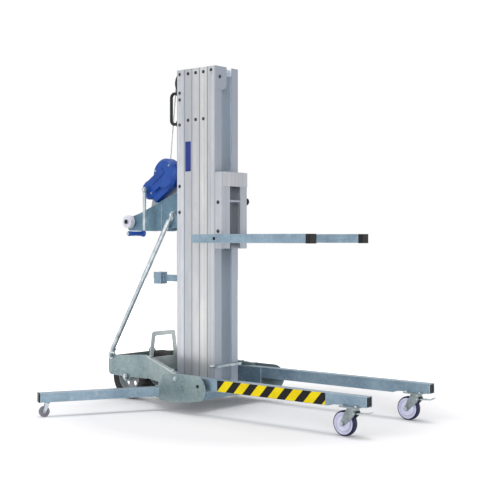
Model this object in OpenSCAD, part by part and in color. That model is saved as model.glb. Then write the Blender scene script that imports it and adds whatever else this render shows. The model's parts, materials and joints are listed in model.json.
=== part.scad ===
// Hand-winched telescopic material lift with a five-section mast.
// Front is -Y, the crank side is -X, the floor is z = 0.

/* [Mast] */
// Width of each mast section
mast_w = 200; // [180:5:240]
// Depth of each mast section
section_d = 57; // [52:1:64]
// Gap between two mast sections
section_gap = 2; // [1.5:0.5:4]
// Wall of the mast sections
section_wall = 4; // [3:0.5:6]
// Width of the slot between the front lips
slot_w = 88; // [76:2:100]
// Thickness of the guide feet that run behind the lips
foot_t = 6; // [4:0.5:8]
// Reach of a guide foot behind its lip
foot_reach = 36; // [20:1:40]
// Thickness of the guide stems
stem_t = 8; // [6:0.5:10]
// Running clearance of the guides
guide_clear = 0.5; // [0.3:0.1:1]
// Height of the mast top above the floor
mast_top = 1930; // [1880:5:2000]
// Height of the mast foot above the floor
mast_foot = 110; // [108:1:130]
// Distance from the origin back to the front face of the mast
mast_front = 188; // [170:2:200]

/* [Rope] */
// Diameter of the lifting rope
rope_d = 6; // [4:0.5:7]
// Radius of the rope's centre line on the mast head sheave
sheave_rope_r = 65; // [60:1:68]
// Depth of a sheave groove beyond the rope's centre line
sheave_rim = 5; // [4:0.5:7]
// Width of the sheaves
sheave_w = 14; // [12:1:16]
// Radius of the rope's centre line on the section 5 sheave
front_sheave_rope_r = 15; // [12:0.5:16]
// Radius of the sheave pins
sheave_pin_r = 5; // [4:0.5:6]
// Distance from the mast top down to the section 5 sheave pin
front_sheave_drop = 40; // [30:1:50]

/* [Winch] */
// Radius of the rope's centre line on the drum
drum_rope_r = 48; // [44:1:52]
// Length of the drum between its flanges
drum_l = 62; // [60:1:70]
// Turns of rope on the drum
drum_turns = 8; // [4:1:8]
// Pitch of the rope turns
turn_pitch = 7; // [6.8:0.1:7.4]
// Gear module
gear_m = 4.1; // [3.9:0.05:4.2]
// Teeth on the drum gear
drum_teeth = 40; // [36:2:40]
// Teeth on the idler gear
idler_teeth = 14; // [14:2:16]
// Teeth on the crank pinion
pinion_teeth = 10; // [10:1:12]
// Slope of the gear train below the level
gear_slope = 34; // [28:1:40]
// Face width of the gears
gear_w = 12; // [10:1:14]
// Radius of the winch shafts
shaft_r = 8; // [7:0.5:9]
// Length of the crank between shaft and grip
crank_l = 260; // [240:5:280]
// Radius of the crank grip
grip_r = 14.5; // [12:0.5:17]
// Length of the crank grip
grip_l = 125; // [100:5:140]
// Radial running clearance of shafts and axles
run_clear = 0.05; // [0.03:0.01:0.1]

/* [Carriage and forks] */
// Bottom of the carriage above the floor
carriage_z = 900; // [880:5:950]
// Height of the carriage
carriage_h = 431; // [400:1:460]
// Depth of the carriage
carriage_d = 63; // [60:1:70]
// Height and width of the fork tubes
fork_s = 48; // [44:1:54]
// Wall of the fork tubes
fork_wall = 4; // [3:0.5:5]
// Length of the forks
fork_l = 805; // [700:5:900]
// Distance from the middle to the centre of a fork
fork_x = 237; // [210:1:250]
// Underside of the forks above the floor
fork_z = 933; // [920:1:960]
// Distance from the mast face back to the fork heels
fork_heel = 24; // [0:1:40]

/* [Legs and chassis] */
// Distance from the middle to the centre of a leg
leg_x = 295; // [280:1:320]
// Width of a leg
leg_w = 50; // [44:1:54]
// Height of a leg
leg_h = 62; // [58:1:70]
// Underside of the legs above the floor
leg_z = 141; // [140:1:146]
// Wall of the legs
leg_wall = 3; // [2.5:0.5:4]
// Distance from the origin forward to the tip of a leg
leg_tip = 970; // [950:5:1010]
// Length of the raised leg tip that sits on the caster
leg_tip_l = 200; // [190:5:230]
// Step between the underside of the leg and of its tip
leg_step = 10; // [8:1:14]
// Thickness of the chassis plates
plate_t = 8; // [6:1:10]
// Thickness of the galvanised sheet
sheet_t = 4; // [3:0.5:5]

/* [Rear wheels and box] */
// Radius of the rear wheels
rear_wheel_r = 135; // [125:1:140]
// Width of the rear wheels
rear_wheel_w = 76; // [70:1:80]
// Distance from the middle to the centre of a rear wheel
rear_wheel_x = 125; // [122:1:128]
// Distance from the origin back to the rear axle
rear_axle_y = 828; // [822:1:834]
// Radius of the rear axle
rear_axle_r = 10; // [8:0.5:12]
// Distance from the middle to the outer face of the wheel box
box_x = 172; // [170:1:180]
// Rear end of the wheel box
box_end = 984; // [980:1:988]
// Lower edge of the wheel box
box_low = 137; // [137:1:139]
// Top edge of the wheel box at its front
box_top = 276; // [266:1:284]
// Top of the tilt handle
tilt_top = 406; // [380:2:430]

/* [Stabilisers] */
// Angle of a stabiliser behind the sideways line
stab_angle = 29; // [26:1:40]
// Length of a stabiliser from its pin to its end
stab_l = 698; // [640:2:760]
// Height and width of the stabiliser tube
stab_s = 50; // [44:1:50]
// Underside of the stabiliser tube above the floor
stab_z = 80; // [78:0.5:82]
// Distance from the origin back to the stabiliser pin
stab_pin_y = 390; // [380:1:395]
// Radius of the stabiliser pin
stab_pin_r = 10; // [8:0.5:12]
// Radius of the small caster wheels
small_wheel_r = 29; // [25:0.5:30]

/* [Front casters] */
// Radius of the caster wheels
caster_r = 62.5; // [55:0.5:64]
// Width of the caster wheels
caster_w = 36; // [30:1:40]
// Distance from the swivel axis back to the wheel axle
caster_trail = 45; // [35:1:50]
// Distance from the tip of a leg back to the swivel of its caster
caster_back = 94; // [80:1:110]
// Radius of the caster axle
caster_axle_r = 6; // [5:0.5:7]

/* [Hidden] */
$fn = 64;
sections = 5;
// Room left between faces that only lie close to each other
seat = 0.3;
// Overlap of a cut past the face that it opens
over = 1;

aluminium = "#c9ccd0";
galvanised = "#9fb0b4";
zinc = "#b9c2c4";
black = "#1b1c1e";
royal_blue = "#1d3f9e";
steel = "#8d9296";
white_nylon = "#e8e8ec";
navy = "#1c2140";
lavender = "#c9c9e6";

section_pitch = section_d + section_gap;
function section_front(k) = mast_front + (sections - k) * section_pitch;
mast_rear = section_front(1) + section_d;
mast_h = mast_top - mast_foot;

// Mast head sheave: it straddles the back wall of section 1
sheave_r = sheave_rope_r + sheave_rim;
sheave_y = mast_rear - section_wall - section_d / 2 + 3 + sheave_rope_r;
sheave_z = mast_top - sheave_r + 15;
front_sheave_r = front_sheave_rope_r + sheave_rim;
front_sheave_y = mast_front + section_wall + (section_d - 2 * section_wall) / 2;
front_sheave_z = mast_top - front_sheave_drop;

// Winch shafts, all along X
drum_y = mast_rear + 109;
drum_z = 1335;
idler_c = (drum_teeth + idler_teeth) * gear_m / 2;
crank_c = idler_c + (idler_teeth + pinion_teeth) * gear_m / 2;
idler_y = drum_y + idler_c * cos(gear_slope);
idler_z = drum_z - idler_c * sin(gear_slope);
crank_y = drum_y + crank_c * cos(gear_slope);
crank_z = drum_z - crank_c * sin(gear_slope);
flange_t = 5;
frame_gap = 4;
cover_rim = 18;
cover_slope = 14;
grip_pin_r = 6;
frame_in = drum_l / 2 + flange_t + frame_gap;
frame_out = frame_in + sheet_t;
gear_in = frame_out + 4;
gear_out = gear_in + gear_w;
cover_wall = 3;
cover_d = 58;
cover_out = frame_out + cover_d;
lobe_r = drum_teeth * gear_m / 2 + 10;
small_lobe_r = 57;
arm_t = 8;
arm_in = cover_out + 20;
arm_w = 20;

// Winch bracket behind the mast
cheek_out = 74;
roller_r = 39;
roller_w = 38;
roller_back = 409;
roller_y = mast_rear + roller_back;
roller_z = 1058;
bracket_top = 1236;
bracket_low = 1000;
bracket_slope = 21;
bracket_plate_l = 330;
brace_top = [mast_rear + 58, bracket_top - 140];
brace_bolt_r = 6;

// Carriage
carriage_front = mast_front - section_gap - carriage_d;
carriage_top = carriage_z + carriage_h;
fork_y = mast_front + fork_heel;
bar_s = fork_s;
bar_y = carriage_front + section_wall + 1;
fork_hole_y = mast_front - 136;
fork_hole_r = 6;
fork_cap_l = 26;
knob_y = carriage_front + carriage_d / 2;
knob_z = carriage_top - 163;
knob_stem_r = 5;
stop_z = 225;

// Legs
leg_top = leg_z + leg_h;
leg_out = leg_x + leg_w / 2;
leg_in = leg_x - leg_w / 2;
leg_rear = section_front(4) + 48;
tip_z = leg_z + leg_step;

// Chassis
chassis_front = mast_front - 38;
chassis_rear = mast_rear + 25;
chassis_z = mast_foot - plate_t;

// Flared plates from the wheel box out to the legs
flare_y0 = 660;
pan_z = leg_z + 1;
tilt_y = 690;
flare_y1 = 259;
flare_x1 = leg_out + 22;
flare_end_z = leg_top + 13;
ear_r = 30;
ear_z = box_low + 115;
flare_l = norm([flare_x1 - box_x, flare_y0 - flare_y1]);
flare_turn = atan2(flare_y1 - flare_y0, flare_x1 - box_x);

// Stabiliser brackets
bracket_out = leg_out + 26;
stab_pin_x = leg_x + 3;
stab_bore_r = stab_pin_r + run_clear;
stab_top = stab_z + stab_s;
pad_t = 2;

// Casters
race_r = 31;
race_t = 11;
caster_plate_t = 6;
race_z = tip_z - caster_plate_t - race_t;
crown_t = 5;
crown_top = race_z - seat;
caster_front = leg_tip - caster_back;
caster_y = -caster_front + caster_trail;
small_x = stab_l - 43;
small_trail = 16;
small_crown_t = 3;
small_race_t = 6;
small_crown_top = stab_z - small_race_t - seat;
small_king_r = 5;
small_axle_r = 4;
plate_hole_x = 75;
plate_hole_y = 80;
king_r = 6;
pedal_pin_r = 4.5;
pedal_y = -17;
pedal_z = race_z - 18;

// Polygon in the Y-Z plane, thick along X from x0
module in_yz(x0, t) {
    translate([x0, 0, 0]) rotate([90, 0, 90]) linear_extrude(t) children();
}

// Polygon in the X-Z plane, thick along Y from y0
module in_xz(y0, t) {
    translate([0, y0 + t, 0]) rotate([90, 0, 0]) linear_extrude(t) children();
}

// Round bar along X
module x_bar(x0, x1, y, z, r) {
    translate([x0, y, z]) rotate([0, 90, 0]) cylinder(h = x1 - x0, r = r);
}

// Round bar between two points
module bar(a, b, r) {
    d = b - a;
    translate(a) rotate([0, acos(d.z / norm(d)), atan2(d.y, d.x)]) cylinder(h = norm(d), r = r);
}

// Ring turned about the X axis, its outline given as radius and place along X
module x_turned(y, z) {
    translate([0, y, z]) rotate([90, 0, 90]) rotate_extrude() children();
}

// The same piece on the right and on the left
module side(s) {
    if (s < 0) children();
    else mirror([1, 0, 0]) children();
}

// Points of an arc, from angle a0 to a1
function arc(c, r, a0, a1, n = 8) = [for (i = [0:n])
    let(a = a0 + (a1 - a0) * i / n) c + r * [cos(a), sin(a)]];

// Rectangular tube along Y, from y0 to y1
module y_tube(w, h, wall, y0, y1) {
    difference() {
        translate([-w / 2, y0, 0]) cube([w, y1 - y0, h]);
        translate([-w / 2 + wall, y0 - over, wall]) cube([w - 2 * wall, y1 - y0 + 2 * over, h - 2 * wall]);
    }
}

// One guide: a stem through the slot of the section behind, with its foot behind the lip
module guide_outline(root) {
    stem_out = slot_w / 2 - guide_clear;
    foot_y = section_gap + section_wall + guide_clear;
    for (s = [0, 1]) mirror([s, 0]) {
        translate([stem_out - stem_t, -root]) square([stem_t, root + foot_y + foot_t]);
        translate([stem_out - stem_t, foot_y]) square([stem_t + foot_reach, foot_t]);
    }
}

// Cross-section of a mast section: front face at y = 0, back wall at y = section_d
module section_outline() {
    difference() {
        translate([-mast_w / 2, 0]) square([mast_w, section_d]);
        translate([-mast_w / 2 + section_wall, section_wall])
            square([mast_w - 2 * section_wall, section_d - 2 * section_wall]);
        translate([-slot_w / 2, -over]) square([slot_w, section_wall + 2 * over]);
    }
}

// Sliding section k with its guides
module sliding_section(k) {
    translate([0, section_front(k), mast_foot + section_gap]) linear_extrude(mast_h - section_gap) {
        section_outline();
        translate([0, section_d]) guide_outline(section_wall);
    }
}

// Grooved rope wheel about X, bored for its pin
module sheave(y, z, rope_r, rim, pin_r) {
    groove_r = rope_d / 2 + 2 * seat;
    x_turned(y, z) difference() {
        translate([pin_r + run_clear, -sheave_w / 2]) square([rope_r + rim - pin_r - run_clear, sheave_w]);
        translate([rope_r, 0]) circle(groove_r);
        translate([rope_r, -groove_r]) square([rim + over, 2 * groove_r]);
    }
}

// Point of an involute at roll angle t, as radius and angle
function roll_r(rb, t) = rb * sqrt(1 + pow(t * PI / 180, 2));
function roll_a(t) = t - atan(t * PI / 180);
function at(r, a) = r * [cos(a), sin(a)];

// Outline of an involute gear with one tooth centred on the given angle
module gear_outline(teeth, turn) {
    pressure = 25;
    steps = 5;
    tooth_share = 0.47;
    r = teeth * gear_m / 2;
    rb = r * cos(pressure);
    tip_r = r + 0.8 * gear_m;
    root_r = r - 1.05 * gear_m;
    roll_tip = sqrt(pow(tip_r / rb, 2) - 1) * 180 / PI;
    half = 180 * tooth_share / teeth + tan(pressure) * 180 / PI - pressure;
    polygon([for (i = [0:teeth - 1]) let (c = turn + i * 360 / teeth) each concat(
        [at(root_r, c - half)],
        [for (j = [0:steps]) let (t = roll_tip * j / steps) at(roll_r(rb, t), c - half + roll_a(t))],
        [for (j = [steps:-1:0]) let (t = roll_tip * j / steps) at(roll_r(rb, t), c + half - roll_a(t))],
        [at(root_r, c + half)]
    )]);
}

// Chassis: foot plate, side plates against the legs, back plate and cross channels
module chassis() {
    side_end = leg_rear + 105;
    back_half = leg_in - 42;
    color(galvanised) {
        translate([-leg_in, chassis_front, chassis_z])
            cube([2 * leg_in, chassis_rear - chassis_front, plate_t]);
        for (s = [-1, 1]) side(s) translate([-leg_in, chassis_front, chassis_z])
            cube([plate_t, side_end - chassis_front, leg_top - chassis_z]);
        difference() {
            translate([-back_half, chassis_rear - plate_t, chassis_z])
                cube([2 * back_half, plate_t, leg_top - chassis_z]);
            translate([-slot_w / 2, chassis_rear - plate_t - over, mast_foot + 20])
                cube([slot_w, plate_t + 2 * over, leg_top]);
        }
        for (y = [chassis_front + 20, chassis_rear - 90])
            translate([-leg_in, y, chassis_z - 40]) difference() {
                cube([2 * leg_in, 60, 40]);
                translate([-over, sheet_t, -over])
                    cube([2 * leg_in + 2 * over, 60 - 2 * sheet_t, 40 + over - sheet_t]);
            }
    }
}

// Side plate of the wheel box with the lug of the axle and the ear of the brace
module box_side() {
    lug_r = 30;
    in_yz(-box_x, sheet_t) difference() {
        union() {
            polygon(concat(
                [[flare_y0 - 3, box_low], [flare_y0 - 3, box_top], [box_end - 64, box_top - 18]],
                arc([box_end - ear_r, ear_z], ear_r, 120, 0),
                arc([box_end - 30, box_low + 30], 30, 0, -90)
            ));
            translate([rear_axle_y, rear_wheel_r]) circle(lug_r);
        }
        translate([rear_axle_y, rear_wheel_r]) circle(rear_axle_r + run_clear);
        translate([box_end - ear_r, ear_z]) circle(brace_bolt_r + run_clear);
    }
}

// Flared plate with its top flange, in its own line from the box out to the bracket of the stabiliser
module flare() {
    lip = 24;
    high = box_top - 2;
    low = leg_z + 0.5;
    fall = (high - flare_end_z) / flare_l;
    start = 5;
    end = flare_l - 24;
    under = 1.5;
    translate([-box_x, flare_y0, 0]) rotate([0, 0, -180 - flare_turn]) {
        translate([0, sheet_t, 0]) rotate([90, 0, 0]) linear_extrude(sheet_t)
            polygon([[0, low], [flare_l, low], [flare_l, flare_end_z], [0, high]]);
        translate([0, lip, 0]) rotate([90, 0, 0]) linear_extrude(lip - 1)
            polygon([[start, high - start * fall - under - sheet_t],
                [end, high - end * fall - under - sheet_t],
                [end, high - end * fall - under], [start, high - start * fall - under]]);
    }
}

// Wheel box: side plates, end plate, floor pan and flared plates
module wheel_box() {
    pan_front = chassis_rear;
    pan_x = flare_x1 - (flare_x1 - box_x) * (pan_front - flare_y1) / (flare_y0 - flare_y1);
    color(galvanised) {
        for (s = [-1, 1]) side(s) {
            box_side();
            flare();
        }
        translate([-box_x, box_end - sheet_t, box_low + 30])
            cube([2 * box_x, sheet_t, ear_z - box_low - 32]);
        translate([0, 0, pan_z]) linear_extrude(sheet_t) polygon([
            [2 - pan_x, pan_front], [pan_x - 2, pan_front], [box_x - 2, flare_y0], [box_x - 2, tilt_y],
            [2 - box_x, tilt_y], [2 - box_x, flare_y0]]);
    }
}

// Plate loop across the back of the box, with the hand hole
module tilt_handle() {
    foot_half = box_x - sheet_t - seat;
    shoulder_z = box_top - 24;
    strap = 27;
    color(galvanised) in_xz(tilt_y - 6, 6) difference() {
        polygon(concat(
            [[-foot_half, pan_z + sheet_t], [foot_half, pan_z + sheet_t], [foot_half, shoulder_z - 32],
             [118, shoulder_z]],
            arc([100 - 20, tilt_top - 20], 20, 0, 90),
            arc([-100 + 20, tilt_top - 20], 20, 90, 180),
            [[-118, shoulder_z], [-foot_half, shoulder_z - 32]]
        ));
        polygon(concat(
            [[-118 + strap, shoulder_z], [118 - strap, shoulder_z]],
            arc([100 - strap - 10, tilt_top - strap - 10], 10, 0, 90, 4),
            arc([-100 + strap + 10, tilt_top - strap - 10], 10, 90, 180, 4)
        ));
    }
}

// Front leg: tube whose underside steps up in a round corner to the tip over the caster
module leg() {
    corner_r = 26;
    step_y = -leg_tip + leg_tip_l;
    cut = leg_h - leg_wall;
    color(galvanised) difference() {
        in_yz(-leg_out, leg_w) polygon(concat(
            [[leg_rear, leg_top], [-leg_tip, leg_top], [-leg_tip, tip_z], [step_y, tip_z]],
            arc([step_y + corner_r, leg_z + corner_r], corner_r,
                180 + acos((corner_r - leg_step) / corner_r) * 0.6, 270),
            [[leg_rear, leg_z]]
        ));
        translate([-leg_out + leg_wall, -leg_tip - over, tip_z + leg_wall])
            cube([leg_w - 2 * leg_wall, leg_rear + leg_tip + 2 * over, leg_top - tip_z - 2 * leg_wall]);
        translate([-leg_out + leg_wall, step_y + corner_r, leg_z + leg_wall])
            cube([leg_w - 2 * leg_wall, leg_rear - step_y, cut - leg_wall]);
    }
}

// Plastic plugs set back in the leg tips
module leg_plugs() {
    color(black) for (s = [-1, 1]) side(s)
        translate([-leg_out + leg_wall + seat, -leg_tip + 4, tip_z + leg_wall])
            cube([leg_w - 2 * leg_wall - 2 * seat, 10, leg_top - tip_z - 2 * leg_wall - seat]);
}

// Stabiliser bracket: rounded cheek plate outside the leg, with the shelves above and below the tube
module stabiliser_bracket() {
    rear = stab_pin_y - 5;
    nose = [112, leg_top - 59];
    nose_r = 72;
    low = stab_z - pad_t - sheet_t - 16;
    high = leg_top + 13;
    shelf_y = stab_pin_y - 90;
    shelf_l = 112;
    color(galvanised) difference() {
        union() {
            in_yz(-bracket_out, sheet_t) polygon(concat(
                [[rear, low + 6], [rear, leg_z + 10]],
                arc([rear - 60, high - 40], 40, 10, 90),
                arc(nose, nose_r, 90, 236, 16),
                [[nose.x + 40, low + 12], [rear - 55, low]]
            ));
            translate([-bracket_out, shelf_y, stab_top + pad_t])
                cube([bracket_out - leg_in - plate_t, shelf_l, leg_z - stab_top - pad_t]);
            translate([-bracket_out, shelf_y, stab_z - pad_t - sheet_t])
                cube([bracket_out - leg_in, shelf_l, sheet_t]);
            for (y = [nose.x, nose.x + 80]) translate([-bracket_out, y, leg_z + 8])
                cube([bracket_out - leg_out, 50, leg_h - 16]);
        }
        translate([-stab_pin_x, stab_pin_y, stab_z - 30]) cylinder(h = stab_s + 60, r = stab_bore_r);
    }
}

// Pivot pins of the stabilisers, with their heads and the washers that carry the tubes
module stabiliser_pins() {
    head_t = 8;
    pin_low = stab_z - pad_t - sheet_t;
    color(zinc) for (s = [-1, 1]) side(s) translate([-stab_pin_x, stab_pin_y, 0]) {
        translate([0, 0, pin_low - head_t]) cylinder(h = head_t, r = stab_pin_r + 6);
        translate([0, 0, pin_low - over]) cylinder(h = leg_z - pin_low - seat + over, r = stab_pin_r);
        translate([0, 0, stab_z - pad_t + seat / 2]) cylinder(h = pad_t - seat, r = stab_pin_r + 10);
    }
}

// Stabiliser along +x from its pin at the origin, its inner end rounded about the pin
module stabiliser_tube() {
    heel_r = stab_s / 2 - 1;
    boss_r = stab_pin_r + 8;
    difference() {
        union() {
            difference() {
                union() {
                    translate([0, -stab_s / 2, stab_z]) cube([stab_l, stab_s, stab_s]);
                    translate([0, 0, stab_z]) cylinder(h = stab_s, r = heel_r);
                }
                translate([-stab_s, -stab_s / 2 + leg_wall, stab_z + leg_wall])
                    cube([stab_s + stab_l - 10, stab_s - 2 * leg_wall, stab_s - 2 * leg_wall]);
            }
            translate([0, 0, stab_z]) cylinder(h = stab_s, r = boss_r);
        }
        translate([0, 0, stab_z - over]) cylinder(h = stab_s + 2 * over, r = stab_bore_r);
        translate([small_x, 0, stab_z - over])
            cylinder(h = leg_wall + 2 * over, r = small_king_r + run_clear);
    }
    translate([small_x, 0, stab_z - small_race_t]) difference() {
        cylinder(h = small_race_t, r = 15);
        translate([0, 0, -over]) cylinder(h = small_race_t + 2 * over, r = small_king_r + run_clear);
    }
}

// Puts a piece drawn along +x at its stabiliser, swung out
module at_stabiliser(s) {
    side(s) translate([-stab_pin_x, stab_pin_y, 0]) rotate([0, 0, 180 - stab_angle]) children();
}

module stabiliser(s) {
    color(galvanised) at_stabiliser(s) stabiliser_tube();
}

// Small caster fork under a stabiliser
module small_fork(s) {
    cheek = 11;
    color(zinc) at_stabiliser(s) translate([small_x, 0, 0]) {
        translate([0, 0, small_crown_top - small_crown_t]) {
            cylinder(h = small_crown_t, r = 14);
            cylinder(h = small_crown_t + small_race_t + leg_wall - seat, r = small_king_r);
        }
        for (m = [0, 1]) mirror([0, m, 0]) translate([0, cheek + 2, 0]) rotate([90, 0, 0]) linear_extrude(2)
            difference() {
                polygon(concat(
                    [[-12, small_crown_top], [12, small_crown_top]],
                    arc([small_trail, small_wheel_r], 8, 20, -160)
                ));
                translate([small_trail, small_wheel_r]) circle(small_axle_r + run_clear);
            }
    }
}

// Small caster wheel with its axle
module small_wheel(s) {
    w = 18;
    color(black) at_stabiliser(s)
    translate([small_x + small_trail, w / 2, small_wheel_r]) rotate([90, 0, 0]) {
        rotate_extrude() polygon([[0, 0], [10, 0], [10, 3], [18, 3], [18, 0], [small_wheel_r - 3, 0],
            [small_wheel_r, 3], [small_wheel_r, w - 3], [small_wheel_r - 3, w], [18, w], [18, w - 3],
            [10, w - 3], [10, w], [0, w]]);
        translate([0, 0, -6]) cylinder(h = w + 12, r = small_axle_r);
    }
}

// Top plates of the front casters, with the swivel race hanging below
module caster_plates() {
    half_x = 47;
    half_y = 52;
    color(zinc) for (s = [-1, 1]) side(s) translate([-leg_x, -caster_front, 0]) difference() {
        union() {
            translate([-half_x, -half_y, tip_z - caster_plate_t])
                cube([2 * half_x, 2 * half_y, caster_plate_t]);
            translate([0, 0, race_z]) cylinder(h = race_t, r = race_r);
        }
        translate([0, 0, race_z - over])
            cylinder(h = race_t + caster_plate_t + 2 * over, r = king_r + run_clear);
        for (x = [-1, 1], y = [-1, 1]) translate([x * plate_hole_x / 2, y * plate_hole_y / 2, tip_z - 20])
            cylinder(h = 40, r = 4.5);
    }
}

// Swivel fork of a front caster, with its king pin and wheel axle
module caster_fork(s) {
    cheek_in = caster_w / 2 + 3;
    cheek_t = 3;
    color(zinc) side(s) translate([-leg_x, -caster_front, 0]) {
        translate([0, 0, crown_top - crown_t]) {
            cylinder(h = crown_t, r = race_r - 2);
            translate([-cheek_in - cheek_t, 0, 0]) cube([2 * cheek_in + 2 * cheek_t, 22, crown_t]);
            cylinder(h = crown_t + seat + race_t, r = king_r);
        }
        for (m = [0, 1]) mirror([m, 0, 0]) in_yz(cheek_in, cheek_t) difference() {
            polygon(concat(
                [[-20, crown_top], [-28, crown_top - 16], [-16, crown_top - 34]],
                arc([caster_trail, caster_r], 14, 215, 380),
                [[24, crown_top]]
            ));
            translate([pedal_y, pedal_z]) circle(pedal_pin_r + run_clear);
        }
        x_bar(-cheek_in - cheek_t - 7, cheek_in + cheek_t + 7, caster_trail, caster_r, caster_axle_r);
        for (x = [-1, 1] * (cheek_in + cheek_t + 4)) x_bar(x - 4, x + 4, caster_trail, caster_r, 10);
    }
}

// Wheel body of a front caster: disc with a deep hub
module caster_hub(s) {
    rim_r = caster_r - 8;
    half = caster_w / 2;
    color(lavender) side(s) translate([-leg_x, 0, 0]) x_turned(caster_y, caster_r) polygon([
        [caster_axle_r + run_clear, -half - 2], [17, -half - 2], [19, -half + 6], [rim_r - 8, -half + 5],
        [rim_r - 5, -half + 1], [rim_r, -half + 1], [rim_r, half - 1], [rim_r - 5, half - 1],
        [rim_r - 8, half - 5], [19, half - 6], [17, half + 2], [caster_axle_r + run_clear, half + 2]
    ]);
}

// Tread of a front caster
module caster_tyre(s) {
    rim_r = caster_r - 8;
    half = caster_w / 2;
    color(navy) side(s) translate([-leg_x, 0, 0]) x_turned(caster_y, caster_r) polygon([
        [rim_r, -half], [caster_r - 5, -half], [caster_r - 1.5, -half + 4], [caster_r, -half + 10],
        [caster_r, half - 10], [caster_r - 1.5, half - 4], [caster_r - 5, half], [rim_r, half]
    ]);
}

// Foot pedal of the caster brake, a bent lever ahead of the fork
module brake_pedal(s) {
    pedal_w = 30;
    color(zinc) side(s) translate([-leg_x, -caster_front, 0]) {
        in_yz(-pedal_w / 2, pedal_w) polygon([
            [pedal_y - 8, pedal_z - 4], [pedal_y + 6, pedal_z - 4], [pedal_y + 6, pedal_z + 3],
            [pedal_y - 10, pedal_z + 3], [-92, pedal_z + 5], [-106, pedal_z + 15], [-108, pedal_z + 12],
            [-94, pedal_z + 1]
        ]);
        x_bar(-caster_w / 2 - 8, caster_w / 2 + 8, pedal_y, pedal_z, pedal_pin_r);
    }
}

// Rear axle through the lugs of the wheel box
module rear_axle() {
    color(steel) {
        x_bar(-box_x - 8, box_x + 8, rear_axle_y, rear_wheel_r, rear_axle_r);
        for (s = [-1, 1]) side(s) x_bar(-box_x - 10, -box_x - 2, rear_axle_y, rear_wheel_r, rear_axle_r + 6);
    }
}

// Rear wheel tyre with grooves in its tread
module rear_tyre(s) {
    half = rear_wheel_w / 2;
    bead_r = rear_wheel_r - 48;
    color(black) side(s) translate([-rear_wheel_x, 0, 0]) x_turned(rear_axle_y, rear_wheel_r) difference() {
        polygon(concat(
            [[bead_r, -half + 10], [bead_r + 14, -half + 1]],
            arc([rear_wheel_r - 22, -half + 22], 22, -90, 0, 6),
            arc([rear_wheel_r - 22, half - 22], 22, 0, 90, 6),
            [[bead_r + 14, half - 1], [bead_r, half - 10]]
        ));
        for (g = [-1, 1]) translate([rear_wheel_r - 4, g * 9 - 2]) square([8, 4]);
    }
}

// Rear wheel rim: dished disc with round openings and a hub tube
module rear_rim(s) {
    half = rear_wheel_w / 2;
    bead_r = rear_wheel_r - 48;
    holes = 5;
    color(steel) side(s) translate([-rear_wheel_x, 0, 0]) difference() {
        x_turned(rear_axle_y, rear_wheel_r) polygon([
            [rear_axle_r + run_clear, -half + 2], [22, -half + 2], [26, -8], [bead_r - 14, -4],
            [bead_r - 5, -half + 12], [bead_r, -half + 12], [bead_r, half - 12], [bead_r - 5, half - 12],
            [bead_r - 14, 4], [26, 0], [22, half - 2], [rear_axle_r + run_clear, half - 2]
        ]);
        for (i = [0:holes - 1]) translate([0, rear_axle_y, rear_wheel_r]) rotate([i * 360 / holes, 0, 0])
            x_bar(-half, half, 0, 50, 15);
    }
}

// Fixed rear section of the mast, notched for the head sheave, with a screw groove in each side
module mast_section_1() {
    notch = sheave_w + 8;
    groove_w = 8;
    color(aluminium) difference() {
        translate([0, section_front(1), mast_foot]) linear_extrude(mast_h) difference() {
            section_outline();
            for (s = [0, 1]) mirror([s, 0]) translate([mast_w / 2 - section_wall / 2, section_d - 24])
                square([section_wall, groove_w]);
        }
        translate([-notch / 2, mast_rear - section_wall - over, sheave_z - sheave_r - 6])
            cube([notch, section_wall + 2 * over, sheave_r + mast_top - sheave_z + 20]);
    }
}

module mast_section(k) {
    color(aluminium) sliding_section(k);
}

// Front section: carries the sheave pin and the rope guard at its head
module mast_section_5() {
    guard_h = 130;
    guard_w = mast_w / 2 - 2;
    guard_t = 3;
    corner = 34;
    color(aluminium) {
        sliding_section(5);
        x_bar(-mast_w / 2 - 5, mast_w / 2 + 5, front_sheave_y, front_sheave_z, sheave_pin_r);
        in_xz(mast_front - guard_t, guard_t) polygon(concat(
            [[-mast_w / 2, mast_top], [-mast_w / 2, mast_top - guard_h]],
            arc([-mast_w / 2 + guard_w - corner, mast_top - guard_h + corner], corner, 270, 360),
            [[-mast_w / 2 + guard_w, mast_top]]
        ));
    }
}

// Bent strap across the foot of section 5 that the carriage comes down on
module carriage_stop() {
    strap = 14;
    t = 5;
    z = stop_z + 6;
    color(zinc) {
        translate([-mast_w / 2 - t, mast_front - 22, z]) cube([mast_w + 2 * t, t, strap]);
        for (s = [-1, 1]) side(s) {
            translate([-mast_w / 2 - t, mast_front - 22, z]) cube([t, 52, strap]);
            x_bar(-mast_w / 2 - t - 9, -mast_w / 2 - t, mast_front + 18, z + strap / 2, 9);
        }
    }
}

module front_sheave() {
    color(black) sheave(front_sheave_y, front_sheave_z, front_sheave_rope_r, sheave_rim, sheave_pin_r);
}

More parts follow.
